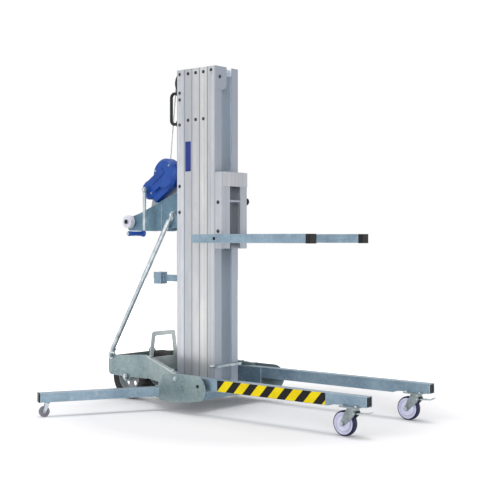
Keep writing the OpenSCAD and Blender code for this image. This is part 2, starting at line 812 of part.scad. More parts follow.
// Carriage frame: two guide rails that run in section 5, tied by the top plate
module carriage_frame() {
    top_plate_h = 81;
    rail_lip = mast_w / 2 - slot_w / 2 + 2;
    half_w = mast_w / 2 + 2;
    stem_in = slot_w / 2 - guide_clear - stem_t;
    color(aluminium) difference() {
        union() {
            translate([0, carriage_front, carriage_z]) linear_extrude(carriage_h) {
                for (s = [0, 1]) mirror([s, 0]) {
                    translate([half_w - section_wall, 0]) square([section_wall, carriage_d]);
                    translate([half_w - rail_lip, 0]) square([rail_lip, section_wall]);
                    translate([stem_in, carriage_d - section_wall]) square([half_w - stem_in, section_wall]);
                }
                translate([0, carriage_d]) guide_outline(section_wall);
            }
            translate([-half_w, carriage_front - section_wall, carriage_top - top_plate_h])
                cube([2 * half_w, section_wall, top_plate_h]);
            translate([-slot_w / 2 - 14, carriage_front + section_wall - 1, knob_z - 6])
                cube([slot_w + 28, 7, 12]);
        }
        translate([-half_w - over, bar_y - seat, fork_z])
            cube([2 * half_w + 2 * over, bar_s + 2 * seat, bar_s + seat]);
        x_bar(half_w - section_wall - over, half_w + over, knob_y, knob_z, knob_stem_r + run_clear);
    }
}

// Clamp knob on the far rail
module carriage_knob() {
    half_w = mast_w / 2 + 2;
    color(black) {
        x_turned(knob_y, knob_z) polygon(concat(
            [[0, half_w + seat], [11, half_w + seat], [9, half_w + 18], [22, half_w + 23]],
            arc([14, half_w + 31], 8, 0, 90, 5),
            [[0, half_w + 40]]
        ));
        x_bar(half_w - section_wall - 8, half_w + 2, knob_y, knob_z, knob_stem_r);
    }
}

// Square bar across the carriage that carries both forks
module fork_bar() {
    bar_half = fork_x - fork_s / 2;
    color(galvanised) difference() {
        translate([-bar_half, bar_y, fork_z]) cube([2 * bar_half, bar_s, bar_s]);
        translate([-bar_half - over, bar_y + fork_wall, fork_z + fork_wall])
            cube([2 * bar_half + 2 * over, bar_s - 2 * fork_wall, bar_s - 2 * fork_wall]);
    }
}

// Fork tube with the cross hole for its lock pin
module fork(s) {
    color(galvanised) side(s) difference() {
        translate([-fork_x, 0, fork_z])
            y_tube(fork_s, fork_s, fork_wall, fork_y - fork_l + fork_cap_l, fork_y);
        x_bar(-fork_x - fork_s, -fork_x + fork_s, fork_hole_y, fork_z + fork_s / 2, fork_hole_r);
    }
}

// Plastic caps on the fork ends, flush with the top of the tube and plugged into it
module fork_caps() {
    inner = fork_s - 2 * fork_wall - 2 * seat;
    proud = 1.5;
    nose = 5;
    plug = 18;
    color(black) for (s = [-1, 1]) side(s) translate([-fork_x, fork_y - fork_l, fork_z + fork_s / 2]) {
        translate([-fork_s / 2 - proud, -nose, -fork_s / 2 - proud])
            cube([fork_s + 2 * proud, fork_cap_l + nose, fork_s + proud]);
        translate([-inner / 2, fork_cap_l - over, -inner / 2]) cube([inner, plug + over, inner]);
    }
}

// Bow handles on the back of section 1
module carry_handles() {
    bow_z = [mast_top - 308, mast_top - 130];
    reach = 60;
    r = 9;
    bend = 24;
    color(black) for (s = [-1, 1]) side(s) translate([-mast_w / 2 + 16, mast_rear, 0]) {
        for (z = bow_z) {
            translate([0, 8, z]) rotate([-90, 0, 0]) cylinder(h = reach - bend - 8, r = r);
            translate([-13, 0, z - 16]) cube([26, 9, 32]);
        }
        translate([0, reach, bow_z[0] + bend]) cylinder(h = bow_z[1] - bow_z[0] - 2 * bend, r = r);
        translate([0, reach - bend, bow_z[0] + bend]) rotate([90, 0, 90]) rotate([0, 0, -90])
            rotate_extrude(angle = 90) translate([bend, 0]) circle(r);
        translate([0, reach - bend, bow_z[1] - bend]) rotate([90, 0, 90])
            rotate_extrude(angle = 90) translate([bend, 0]) circle(r);
    }
}

// Sheet clip on the mast for a stowed tool: arm with an open square sleeve
module storage_clip() {
    z = 690;
    h = 70;
    arm_l = 130;
    sleeve = 56;
    t = 3;
    x = 24 - mast_w / 2;
    color(galvanised) {
        translate([x - 20, mast_rear, z]) cube([40, t, h]);
        translate([x - t / 2, mast_rear, z + 15]) cube([t, arm_l, h - 30]);
        translate([x - sleeve / 2, mast_rear + arm_l, z]) difference() {
            cube([sleeve, sleeve, h]);
            translate([t, t, -over]) cube([sleeve - 2 * t, sleeve - 2 * t, h + 2 * over]);
            translate([sleeve / 2 - 10, sleeve - t - over, -over]) cube([20, t + 2 * over, h + 2 * over]);
        }
    }
}

// Round brace from the ear of the wheel box up to the near cheek of the winch bracket
module brace_tube() {
    r = 14;
    eye_r = 20;
    eye_t = 6;
    ear = [box_end - ear_r, ear_z];
    top = brace_top;
    low_x = -box_x - eye_t - seat;
    top_x = -cheek_out - eye_t - seat;
    rise = atan2(top.y - ear.y, top.x - ear.x);
    neck = 34;
    color(zinc) {
        bar([low_x - 9, ear.x + neck * cos(rise), ear.y + neck * sin(rise)],
            [top_x - 10, top.x - neck * cos(rise), top.y - neck * sin(rise)], r);
        for (e = [[low_x, ear, rise], [top_x, top, rise + 180]]) in_yz(e[0], eye_t) translate(e[1]) {
            circle(eye_r);
            rotate(e[2]) translate([0, -eye_r * 0.8]) square([neck + 22, eye_r * 1.6]);
        }
        x_bar(low_x - 8, -box_x + sheet_t, ear.x, ear.y, brace_bolt_r);
        x_bar(top_x - 8, -cheek_out + sheet_t, top.x, top.y, brace_bolt_r);
    }
}

// Outline of a winch bracket cheek in the Y-Z plane
module cheek_outline() {
    polygon(concat(
        [[mast_rear, bracket_low + 26], [mast_rear, bracket_top],
         [mast_rear + bracket_plate_l, bracket_top - bracket_plate_l * tan(bracket_slope)]],
        arc([roller_y, roller_z], 30, 60, 0),
        arc([roller_y + 6, bracket_low + 28], 24, 0, -90),
        [[mast_rear + 190, bracket_low]]
    ));
}

// Winch bracket: two cheeks, mast plate, sloping winch plate and the stub axles of the loading rollers
module winch_bracket() {
    stub_r = 9;
    bend_y = mast_rear + 150;
    slab_y = sheet_t * tan(bracket_slope);
    color(galvanised) difference() {
        union() {
            for (s = [-1, 1]) side(s) {
                in_yz(-cheek_out, sheet_t) cheek_outline();
                x_bar(-cheek_out - roller_w - 3, -cheek_out + sheet_t, roller_y, roller_z, stub_r);
                x_bar(-cheek_out - roller_w - 6, -cheek_out - roller_w - 2.5,
                    roller_y, roller_z, stub_r + 6);
                translate([-cheek_out - 2, bend_y, bracket_low])
                    cube([2 + over, 5, bracket_top - bracket_low - 80]);
            }
            translate([-mast_w / 2 + 4, mast_rear, bracket_low + 26])
                cube([mast_w - 8, sheet_t, bracket_top - bracket_low - 26]);
            translate([-cheek_out, mast_rear, bracket_top]) rotate([-bracket_slope, 0, 0])
                translate([0, slab_y, -sheet_t])
                    cube([2 * cheek_out, bracket_plate_l / cos(bracket_slope) - slab_y, sheet_t]);
            x_bar(-cheek_out, cheek_out, roller_y, roller_z, 12);
        }
        x_bar(-cheek_out - 4, -cheek_out + sheet_t + over,
            brace_top.x, brace_top.y, brace_bolt_r + run_clear);
    }
}

// White nylon roller that the lift is laid on for loading
module loading_roller(s) {
    half = roller_w / 2;
    bore = 9 + run_clear;
    color(white_nylon) side(s) translate([-cheek_out - half - 1, 0, 0])
    x_turned(roller_y, roller_z) polygon([
        [bore, -half + 0.5], [roller_r - 4, -half + 0.5], [roller_r, -half + 4.5], [roller_r, half - 4.5],
        [roller_r - 4, half - 0.5], [bore, half - 0.5]
    ]);
}

// Outline of the winch in the Y-Z plane: a big lobe over the drum gear, a small one over the pinion
module lobes(shrink) {
    translate([drum_y, drum_z]) circle(lobe_r - shrink);
    translate([crank_y, crank_z]) circle(small_lobe_r - shrink);
    translate([drum_y, drum_z]) rotate(-gear_slope)
        translate([0, -small_lobe_r - 34 + shrink]) square([crank_c, 2 * small_lobe_r + 30 - 2 * shrink]);
}

// Winch frame: two shaft plates on a sloping foot, tied by spacer rods
module winch_frame() {
    foot_y = mast_rear + 40;
    foot_l = 230;
    function top_z(y) = bracket_top - (y - mast_rear) * tan(bracket_slope);
    color(steel) difference() {
        union() {
            for (x = [-frame_out, frame_in]) in_yz(x, sheet_t) {
                lobes(2);
                polygon([[foot_y, top_z(foot_y)], [foot_y + foot_l, top_z(foot_y + foot_l)],
                    [crank_y, crank_z], [drum_y, drum_z]]);
            }
            for (p = [[drum_y - 70, drum_z + 30], [idler_y + 10, idler_z + 38],
                [idler_y - 20, idler_z - 56]])
                x_bar(-frame_out, frame_out, p[0], p[1], 6);
            in_yz(-frame_out, 2 * frame_out) polygon([
                [foot_y, top_z(foot_y)], [foot_y + foot_l, top_z(foot_y + foot_l)],
                [foot_y + foot_l, top_z(foot_y + foot_l) + sheet_t], [foot_y, top_z(foot_y) + sheet_t]]);
        }
        x_bar(-frame_out - over, frame_out + over, drum_y, drum_z, shaft_r + run_clear);
        x_bar(-frame_out - over, frame_out + over, idler_y, idler_z, shaft_r + run_clear);
        x_bar(-frame_out - over, frame_out + over, crank_y, crank_z, shaft_r + run_clear);
    }
}

// Solid form of the winch cover, drawn in by a wall thickness for its hollow
module cover_form(wall) {
    shoulder = cover_rim - cover_out;
    half = small_lobe_r - 2 - wall - cover_slope;
    translate([wall, 0, 0]) {
        in_yz(shoulder, cover_d - cover_rim) lobes(wall);
        for (l = [[drum_y, drum_z, lobe_r], [crank_y, crank_z, small_lobe_r]])
            translate([shoulder, l[0], l[1]]) rotate([0, -90, 0])
                cylinder(h = cover_rim, r1 = l[2] - wall, r2 = l[2] - wall - cover_slope);
        in_yz(-cover_out, cover_rim + over) translate([drum_y, drum_z]) rotate(-gear_slope)
            translate([0, -half]) square([crank_c, 2 * half]);
    }
}

// Blue plastic cover over the gears: two lobes with sloping rims
module winch_cover() {
    pad = 4;
    color(royal_blue) difference() {
        union() {
            cover_form(0);
            x_bar(-cover_out - 5, -cover_out + over, crank_y, crank_z, 24);
            in_yz(-cover_out - pad, pad + over) translate([drum_y, drum_z]) rotate(-gear_slope)
                translate([-10, 0]) square([crank_c - 40, 34]);
        }
        cover_form(cover_wall);
        x_bar(-cover_out - 10, -frame_out, crank_y, crank_z, shaft_r + 0.5);
    }
}

// Cheeks and pin that hold the head sheave behind section 1
module sheave_bracket() {
    gap = sheave_w / 2 + 1;
    t = 4;
    color(steel) {
        for (s = [-1, 1]) side(s) {
            in_yz(-gap - t, t) polygon(concat(
                [[mast_rear, sheave_z - 80], [mast_rear, sheave_z + 40]],
                arc([sheave_y, sheave_z], 26, 110, -70)
            ));
            translate([-gap - 34, mast_rear, sheave_z - 80]) cube([34, t, 120]);
        }
        x_bar(-gap - t - 5, gap + t + 5, sheave_y, sheave_z, sheave_pin_r);
    }
}

module head_sheave() {
    color(black) sheave(sheave_y, sheave_z, sheave_rope_r, sheave_rim, sheave_pin_r);
}

// Wire rope: up from the drum, over the head sheave and down inside section 1
module lifting_rope() {
    line = [sheave_y - drum_y, sheave_z - drum_z];
    reach = norm(line);
    touch = atan2(line.y, line.x) - acos((drum_rope_r - sheave_rope_r) / reach);
    low = [drum_y, drum_z] + at(drum_rope_r, touch);
    high = [sheave_y, sheave_z] + at(sheave_rope_r, touch);
    clear_l = sqrt(pow(drum_rope_r + rope_d + 1, 2) - pow(drum_rope_r, 2));
    start = low + (high - low) * clear_l / norm(high - low);
    along = (high - low) / norm(high - low);
    near = high - along / 2;
    splice = [high - 2 * along, high + 2 * along];
    splice_r = rope_d / 2 + 0.2;
    color(steel) {
        bar([0, start.x, start.y], [0, near.x, near.y], rope_d / 2);
        bar([0, splice[0].x, splice[0].y], [0, splice[1].x, splice[1].y], splice_r);
        translate([0, sheave_y, sheave_z]) rotate([90, 0, 90]) rotate([0, 0, touch])
            rotate_extrude(angle = 180 - touch) translate([sheave_rope_r, 0]) circle(rope_d / 2);
        translate([0, sheave_y - sheave_rope_r, sheave_z - 2]) cylinder(h = 4, r = splice_r);
        translate([0, sheave_y - sheave_rope_r, mast_foot + 30])
            cylinder(h = sheave_z - mast_foot - 30.5, r = rope_d / 2);
    }
}

// Winch drum with its flanges and shaft
module winch_drum() {
    core_r = drum_rope_r - rope_d / 2 - seat;
    flange_r = drum_rope_r + rope_d + 8;
    color(steel) {
        x_bar(-drum_l / 2, drum_l / 2, drum_y, drum_z, core_r);
        for (s = [-1, 1]) side(s) x_bar(-drum_l / 2 - flange_t, -drum_l / 2, drum_y, drum_z, flange_r);
        x_bar(-gear_out - 4, frame_out + 6, drum_y, drum_z, shaft_r);
    }
}

// Drum gear, meshed with the idler
module drum_gear() {
    color(steel) difference() {
        translate([0, drum_y, drum_z]) in_yz(-gear_out, gear_w) gear_outline(drum_teeth, -gear_slope);
        x_bar(-gear_out - over, -gear_in + over, drum_y, drum_z, shaft_r + run_clear);
    }
}

// Rope wound on the drum in one unbroken tube of hexagonal rings
ring_count = 24;
ring_sides = 6;
wind_start = -(drum_turns * turn_pitch) / 2;
function wind_point(i, r, x) =
    let (a = i * 360 / ring_count)
    [wind_start + turn_pitch * i / ring_count + x, r * cos(a), r * sin(a)];
function wind_ring(i, shift) = [for (j = [0:ring_sides - 1])
    let (b = j * 360 / ring_sides + 30, a = i * 360 / ring_count)
    wind_point(i, drum_rope_r + rope_d / 2 * cos(b), rope_d / 2 * sin(b)) + shift * [0, -sin(a), cos(a)]];
wind_last = drum_turns * ring_count;
wind_rings = concat(
    [wind_ring(0, -rope_d)],
    [for (i = [0:wind_last]) wind_ring(i, 0)],
    [wind_ring(wind_last, rope_d)]
);
wind_gap = min([for (i = [0:wind_last - ring_count], j = [-1:1])
    norm(wind_point(i, drum_rope_r, 0)
        - wind_point(min(i + ring_count + j, wind_last), drum_rope_r, 0))]) - rope_d;
echo("least gap between rope turns", wind_gap);
module rope_winding() {
    rows = len(wind_rings);
    color(zinc) translate([0, drum_y, drum_z]) polyhedron(
        [for (ring = wind_rings) each ring],
        concat(
            [for (i = [0:rows - 2], j = [0:ring_sides - 1]) let (
                k = (j + 1) % ring_sides, a = i * ring_sides, b = a + ring_sides) each
                [[a + j, b + k, a + k], [a + j, b + j, b + k]]],
            [for (j = [1:ring_sides - 2]) [0, j, j + 1]],
            [for (j = [1:ring_sides - 2]) let (b = (rows - 1) * ring_sides) [b, b + j + 1, b + j]]
        )
    );
}

// Idler gear between drum gear and pinion, on its own short shaft
module idler_gear() {
    color(steel) {
        translate([0, idler_y, idler_z]) in_yz(-gear_out, gear_w)
            gear_outline(idler_teeth, 180 - gear_slope + 180 / idler_teeth);
        x_bar(-gear_out - 2, frame_out + 4, idler_y, idler_z, shaft_r);
    }
}

// Crank shaft with the pinion cut on it
module crank_shaft() {
    color(steel) {
        translate([0, crank_y, crank_z]) in_yz(-gear_out, gear_w)
            gear_outline(pinion_teeth, 180 - gear_slope);
        x_bar(-arm_in - arm_t - 6, frame_out + 6, crank_y, crank_z, shaft_r);
    }
}

// Crank arm hanging from the shaft, with the pin of the grip
module crank_arm() {
    color(zinc) difference() {
        union() {
            in_yz(-arm_in - arm_t, arm_t) {
                translate([crank_y, crank_z]) circle(arm_w / 2 + 3);
                translate([crank_y, crank_z - crank_l]) circle(arm_w / 2);
                translate([crank_y - arm_w / 2, crank_z - crank_l]) square([arm_w, crank_l]);
            }
            x_bar(-arm_in - arm_t - grip_l - 6, -arm_in, crank_y, crank_z - crank_l, grip_pin_r);
            x_bar(-arm_in - arm_t - grip_l - 8, -arm_in - arm_t - grip_l - 3,
                crank_y, crank_z - crank_l, grip_pin_r + 3);
        }
        x_bar(-arm_in - arm_t - over, -arm_in + over, crank_y, crank_z, shaft_r + run_clear);
    }
}

// Grip that spins on the crank pin
module crank_grip() {
    x0 = -arm_in - arm_t - grip_l - 2;
    color(royal_blue) translate([0, crank_y, crank_z - crank_l])
    rotate([90, 0, 90]) rotate_extrude() polygon(concat(
        [[grip_pin_r + run_clear, x0], [grip_r - 5, x0]],
        arc([grip_r - 5, x0 + 5], 5, -90, 0, 4),
        [[grip_r - 1.5, x0 + grip_l * 0.5], [grip_r, x0 + grip_l - 12], [grip_r + 4, x0 + grip_l - 8],
         [grip_r + 4, x0 + grip_l], [grip_pin_r + run_clear, x0 + grip_l]]
    ));
}

chassis();
wheel_box();
tilt_handle();
side(-1) leg();  // right_leg
side(1) leg();  // left_leg
leg_plugs();
side(-1) stabiliser_bracket();  // right_stabiliser_bracket
side(1) stabiliser_bracket();  // left_stabiliser_bracket
stabiliser_pins();
caster_plates();
rear_axle();
mast_section_1();
carry_handles();
storage_clip();
brace_tube();
winch_bracket();
winch_frame();
winch_cover();
sheave_bracket();
lifting_rope();
winch_drum();
drum_gear();
rope_winding();
idler_gear();
crank_shaft();
crank_arm();
crank_grip();
head_sheave();
loading_roller(-1);  // right_loading_roller
loading_roller(1);  // left_loading_roller
rear_tyre(-1);  // right_rear_tyre
rear_rim(-1);  // right_rear_rim
rear_tyre(1);  // left_rear_tyre
rear_rim(1);  // left_rear_rim
mast_section(2);  // mast_section_2
mast_section(3);  // mast_section_3
mast_section(4);  // mast_section_4
mast_section_5();
carriage_stop();
front_sheave();
carriage_frame();
fork_bar();
fork(-1);  // right_fork
fork(1);  // left_fork
fork_caps();
carriage_knob();
caster_fork(-1);  // right_caster_fork
caster_hub(-1);  // right_caster_hub
caster_tyre(-1);  // right_caster_tyre
brake_pedal(-1);  // right_brake_pedal
caster_fork(1);  // left_caster_fork
caster_hub(1);  // left_caster_hub
caster_tyre(1);  // left_caster_tyre
brake_pedal(1);  // left_brake_pedal
stabiliser(-1);  // right_stabiliser
small_fork(-1);  // right_small_fork
small_wheel(-1);  // right_small_wheel
stabiliser(1);  // left_stabiliser
small_fork(1);  // left_small_fork
small_wheel(1);  // left_small_wheel
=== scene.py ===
import json
import math

import bmesh
import bpy
from mathutils import Matrix, Vector


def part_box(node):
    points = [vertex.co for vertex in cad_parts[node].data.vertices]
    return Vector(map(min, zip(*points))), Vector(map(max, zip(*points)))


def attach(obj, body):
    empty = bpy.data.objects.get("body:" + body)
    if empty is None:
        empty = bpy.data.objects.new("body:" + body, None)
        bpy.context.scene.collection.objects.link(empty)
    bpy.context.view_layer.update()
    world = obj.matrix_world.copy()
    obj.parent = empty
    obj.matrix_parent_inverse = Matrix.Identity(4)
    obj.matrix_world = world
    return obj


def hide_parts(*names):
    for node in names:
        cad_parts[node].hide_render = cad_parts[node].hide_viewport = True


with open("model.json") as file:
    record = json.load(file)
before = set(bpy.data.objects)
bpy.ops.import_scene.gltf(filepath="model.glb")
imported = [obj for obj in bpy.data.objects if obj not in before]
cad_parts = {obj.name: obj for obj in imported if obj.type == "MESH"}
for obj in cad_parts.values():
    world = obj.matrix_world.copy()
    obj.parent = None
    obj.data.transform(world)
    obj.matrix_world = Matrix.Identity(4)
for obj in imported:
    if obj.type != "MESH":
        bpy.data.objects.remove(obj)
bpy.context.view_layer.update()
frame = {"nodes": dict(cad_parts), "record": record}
scene = bpy.context.scene

# Camera
# Level view from the front right, about 5.9 m away at the height of the forks.
# The small shift holds the mast upright and the floor in the frame.
camera = bpy.data.objects.new("camera", bpy.data.cameras.new("camera"))
scene.collection.objects.link(camera)
camera.location = (-4.51, -3.73, 0.957)
camera.rotation_euler = (math.radians(90), 0, math.radians(-50))
camera.data.lens = 77.3
camera.data.sensor_width = 36
camera.data.shift_y = -0.0123
camera.data.clip_end = 60
scene.camera = camera


# Chassis
# Foot plate of the mast with its side plates and cross channels, welded and hot-dip galvanised.
# The zinc sets in crystals, blue-grey, with a white bloom where it has weathered.
def linear(hex_colour):
    """sRGB hex to a linear colour."""
    parts = [int(hex_colour[i:i + 2], 16) / 255 for i in (1, 3, 5)]
    return [c / 12.92 if c <= 0.04045 else ((c + 0.055) / 1.055) ** 2.4 for c in parts] + [1.0]


def add(tree, kind, inputs=None, **settings):
    """Adds one shader node with its settings and socket values; a value may be a socket to link."""
    shader = tree.nodes.new(kind)
    for key, value in settings.items():
        setattr(shader, key, value)
    for key, value in (inputs or {}).items():
        if isinstance(value, bpy.types.NodeSocket):
            tree.links.new(value, shader.inputs[key])
        else:
            shader.inputs[key].default_value = value
    return shader


def new_material(name, **inputs):
    """A principled material; returns it with its tree and its shader."""
    material = bpy.data.materials.new(name)
    material.use_nodes = True
    tree = material.node_tree
    shader = tree.nodes["Principled BSDF"]
    for key, value in inputs.items():
        shader.inputs[key.replace("_", " ")].default_value = value
    return material, tree, shader


def grain(tree, width, drawn=(1.0, 1.0, 1.0), detail=4.0):
    """Uneven pattern about width metres across, drawn out along an axis where drawn is below 1."""
    place = add(tree, "ShaderNodeTexCoord").outputs["Object"]
    stretched = add(tree, "ShaderNodeMapping", {"Vector": place, "Scale": drawn}).outputs["Vector"]
    return add(tree, "ShaderNodeTexNoise", {
        "Vector": stretched, "Scale": 1 / width, "Detail": detail, "Roughness": 0.6
    }).outputs["Fac"]


def two_tone(tree, pattern, dark, light, start=0.3, end=0.7, most=1.0):
    """Colour that follows a pattern from dark to light, each a hex colour or a colour made before."""
    share = add(tree, "ShaderNodeMapRange", {
        "Value": pattern, "From Min": start, "From Max": end, "To Max": most
    }).outputs["Result"]
    ends = [linear(c) if isinstance(c, str) else c for c in (dark, light)]
    return add(tree, "ShaderNodeMix", {0: share, 6: ends[0], 7: ends[1]}, data_type="RGBA").outputs[2]


def uneven_gloss(tree, shader, pattern, low, high):
    """Roughness that follows a pattern between two values."""
    rough = add(tree, "ShaderNodeMapRange", {
        "Value": pattern, "From Min": 0.3, "From Max": 0.7, "To Min": low, "To Max": high
    }).outputs["Result"]
    tree.links.new(rough, shader.inputs["Roughness"])


def soft_edges(tree, shader, height, strength, distance, radius=0.0012):
    """Rounds the edges in the shading and adds the grain as bump."""
    edge = add(tree, "ShaderNodeBevel", {"Radius": radius}, samples=4)
    bump = add(tree, "ShaderNodeBump", {
        "Height": height, "Strength": strength, "Distance": distance, "Normal": edge.outputs["Normal"]
    })
    tree.links.new(bump.outputs["Normal"], shader.inputs["Normal"])


def rubbed_and_highlit_edges(tree, colour, bare_and_highlit):
    """Lightens a colour within 4 mm of the edges: partly wear, where handling rubs the surface bare, and
    partly a painted highlight along the edges.
    """
    rounded = add(tree, "ShaderNodeBevel", {"Radius": 0.004}, samples=6).outputs["Normal"]
    flat = add(tree, "ShaderNodeNewGeometry").outputs["True Normal"]
    same = add(tree, "ShaderNodeVectorMath", {
        0: rounded, 1: flat}, operation="DOT_PRODUCT").outputs["Value"]
    return two_tone(tree, same, colour, bare_and_highlit, 0.98, 0.75, 0.7)


def galvanised(name, dark, light, gloss=0.3, corner=0.0016):
    """Hot-dip zinc, a dull metal: 12 mm crystals over 170 mm clouds, white bloom in 50 mm patches."""
    material, tree, shader = new_material(name, Metallic=0.55)
    place = add(tree, "ShaderNodeTexCoord").outputs["Object"]
    cells = add(tree, "ShaderNodeTexVoronoi", {"Vector": place, "Scale": 1 / 0.0125, "Randomness": 1.0})
    crystal = add(tree, "ShaderNodeSeparateColor", {"Color": cells.outputs["Color"]}).outputs[0]
    clouds = grain(tree, 0.167, detail=6.0)
    bloom = grain(tree, 0.053, detail=7.0)
    cloud_share = add(tree, "ShaderNodeMapRange", {
        "Value": clouds, "From Min": 0.3, "From Max": 0.7, "To Max": 0.75
    }).outputs["Result"]
    tone = add(tree, "ShaderNodeMath", {
        0: crystal, 1: 0.25, 2: cloud_share}, operation="MULTIPLY_ADD").outputs[0]
    zinc = two_tone(tree, tone, dark, light, 0.0, 1.0)
    dull = two_tone(tree, bloom, zinc, "#bcc6c8", 0.58, 0.75, 0.3)
    # The edges are lightened, partly as wear and partly as a painted highlight.
    tree.links.new(rubbed_and_highlit_edges(tree, dull, "#d0dadf"), shader.inputs["Base Color"])
    uneven_gloss(tree, shader, clouds, gloss, gloss + 0.16)
    soft_edges(tree, shader, clouds, 0.12, 0.002, corner)
    return material


slot_of = {part["node"]: part["material_slot"] for part in frame["record"]["subparts"]}
finishes = {"galvanised_steel": galvanised("galvanised_steel", "#687f90", "#93a9b8", corner=0.004)}


def dress(*nodes, material=None):
    """Gives CAD nodes the finish of their slot, or one of their own."""
    for name in nodes:
        data = frame["nodes"][name].data
        data.materials.clear()
        data.materials.append(material or finishes[slot_of[name]])


dress("chassis")


# Wheel box
# Bent and welded sheet round the rear wheels, with flared plates out to the stabiliser brackets.
# Each flared plate has a bolted top flange; a pale zinc rod, partly sunk along the fold of its edge, is a
# painted highlight.
def finish(name, mesh, body, slot, material=None):
    """Makes a piece from a bmesh, gives it its finish and lets it ride on its body."""
    data = bpy.data.meshes.new(name)
    mesh.normal_update()
    mesh.to_mesh(data)
    mesh.free()
    piece = bpy.data.objects.new(name, data)
    scene.collection.objects.link(piece)
    data.materials.append(material or finishes[slot])
    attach(piece, body)


def turn_to(axis):
    """Rotation that takes +Z to the axis."""
    return Vector((0, 0, 1)).rotation_difference(Vector(axis)).to_matrix().to_4x4()


def plated(name, dark, light, rough, scratch=0.0035):
    """Plated or machined steel: bright, tarnished in 45 mm patches, finely scratched.

    Real scratches are too fine to show, so they are drawn a few millimetres wide.
    """
    material, tree, shader = new_material(name, Metallic=0.85)
    scratches = grain(tree, scratch, detail=5.0)
    tarnish = grain(tree, 0.045, detail=5.0)
    tree.links.new(two_tone(tree, tarnish, dark, light), shader.inputs["Base Color"])
    uneven_gloss(tree, shader, scratches, rough, rough + 0.16)
    soft_edges(tree, shader, scratches, 0.1, 0.0004, 0.0008)
    return material


def studs(name, body, slot, places, radius, height, axis, material=None):
    """Bolt heads in one mesh: a washer, a bevelled hexagon and its domed end."""
    mesh = bmesh.new()
    washer_t, head_t, dome_z = height * 0.25, height * 0.7, height * 0.85
    for place in places:
        at = Matrix.Translation(place) @ turn_to(axis)
        washer_at = at @ Matrix.Translation((0, 0, washer_t / 2))
        bmesh.ops.create_cone(mesh, cap_ends=True, segments=20, radius1=radius * 1.35, radius2=radius * 1.3,
                              depth=washer_t, matrix=washer_at)
        head_at = at @ Matrix.Translation((0, 0, washer_t + head_t / 2))
        head = bmesh.ops.create_cone(mesh, cap_ends=True, segments=6, radius1=radius, radius2=radius,
                                     depth=head_t, matrix=head_at)
        rim = list({edge for vert in head["verts"] for edge in vert.link_edges})
        bmesh.ops.bevel(mesh, geom=rim, offset=radius * 0.14, offset_type="OFFSET", segments=2,
                        profile=0.5, affect="EDGES", material=-1)
        dome_at = at @ Matrix.Translation((0, 0, dome_z)) @ Matrix.Diagonal((1, 1, 0.6, 1))
        bmesh.ops.create_uvsphere(mesh, u_segments=14, v_segments=7, radius=radius * 0.55, matrix=dome_at)
    finish(name, mesh, body, slot, material)


finishes["zinc_plate"] = plated("zinc_plate", "#9aa5ab", "#cfd7da", 0.22)
sheet_zinc = galvanised("sheet_zinc", "#62757a", "#98a8a8", 0.26)
dress("wheel_box", material=sheet_zinc)
flare_start, flare_end = Vector((0.172, 0.660, 0.2725)), Vector((0.342, 0.259, 0.2145))
flare_line = flare_end - flare_start
bolt_inset, bolt_shares = 0.013, (0.08, 0.84)
flange_in = Vector((flare_line.y, -flare_line.x, 0)).normalized() * bolt_inset
lip_r = 0.005
pale_zinc = galvanised("pale_zinc", "#a5b0b1", "#d3d8d6")
two_sides = ((-1, "right"), (1, "left"))
for side, name in two_sides:
    places = []
    for share in bolt_shares:
        spot = flare_start + flare_line * share + flange_in
        places.append((side * spot.x, spot.y, spot.z))
    studs(name + "_flange_bolts", "base", "zinc_plate", places,
          radius=0.008, height=0.007, axis=(0, 0, 1))
    # A pale zinc rod along the fold paints the highlight of the flange's top face.
    lip_line = Vector((side * flare_line.x, flare_line.y, flare_line.z))
    lip_mid = Vector((side * flare_start.x, flare_start.y, flare_start.z - lip_r * 0.7)) + lip_line / 2
    lip = bmesh.new()
    bmesh.ops.create_cone(lip, cap_ends=True, segments=20, radius1=lip_r, radius2=lip_r,
                          depth=lip_line.length - 2 * lip_r,
                          matrix=Matrix.Translation(lip_mid) @ turn_to(lip_line))
    rims = [e for e in lip.edges if len([f for f in e.link_faces if len(f.verts) > 4]) == 1]
    bmesh.ops.bevel(lip, geom=rims, offset=lip_r * 0.6, offset_type="OFFSET", segments=3, profile=0.5,
                    affect="EDGES", material=-1)
    finish(name + "_flare_highlight", lip, "base", "galvanised_steel", pale_zinc)


# Rear wheels
# Black rubber tyres with blocks in the tread, on dished steel rims painted grey.
# They turn on one through axle, which is nutted outside the box.
def moulded(name, dark, light, rough, pebble=0.0012, coat=0.0, shine=0.5):
    """Moulded plastic or rubber: a pebbled skin, dulled by dust in 70 mm patches.

    The real pebbles are too fine to show, so they are drawn 1 mm wide or a little more.
    """
    material, tree, shader = new_material(name, Metallic=0.0, Coat_Weight=coat, Specular_IOR_Level=shine)
    skin = grain(tree, pebble, detail=2.0)
    dust = grain(tree, 0.07, detail=6.0)
    tree.links.new(two_tone(tree, dust, dark, light), shader.inputs["Base Color"])
    uneven_gloss(tree, shader, dust, rough, rough + 0.15)
    soft_edges(tree, shader, skin, 0.08, 0.0003, 0.0012)
    return material


def middle(node):
    """Centre of a node's box."""
    low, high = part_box(node)
    return (Vector(low) + Vector(high)) / 2


